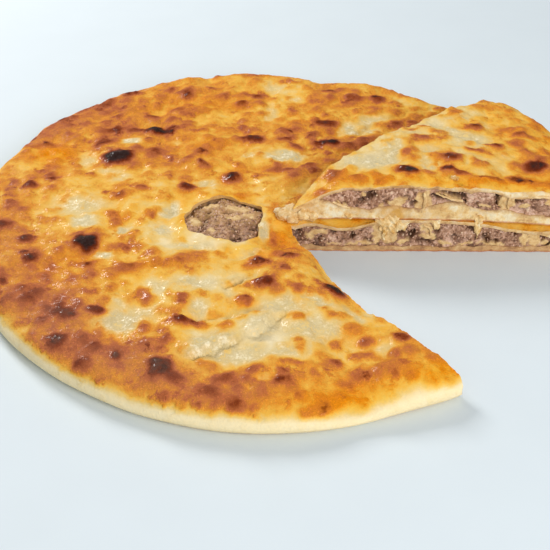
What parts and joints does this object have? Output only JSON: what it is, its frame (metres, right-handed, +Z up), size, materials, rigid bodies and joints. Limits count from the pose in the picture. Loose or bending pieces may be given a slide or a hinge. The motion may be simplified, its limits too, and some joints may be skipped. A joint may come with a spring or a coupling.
{
  "type": "ossetian pie",
  "caption": "Round thin filled flat pie with a steam vent in its browned top. A slice is cut out and lies on top beside the gap, so the cut faces show the minced filling between dough.",
  "frame": {"origin": "on the flat underside, at the middle of the round outline", "axes": "+Z up through the pie, +X along the back cut of the gap towards the rim, -Y towards the front part of the pie"},
  "size_m": [0.348, 0.3292, 0.0441],
  "materials": {
    "baked_dough": "browned, uneven, lightly buttered",
    "minced_filling": "crumbly, moist"
  },
  "bodies": {
    "root": {"pie_crust": "baked_dough", "pie_filling": "minced_filling", "slice_crust": "baked_dough", "slice_filling": "minced_filling"}
  },
  "joints": []
}
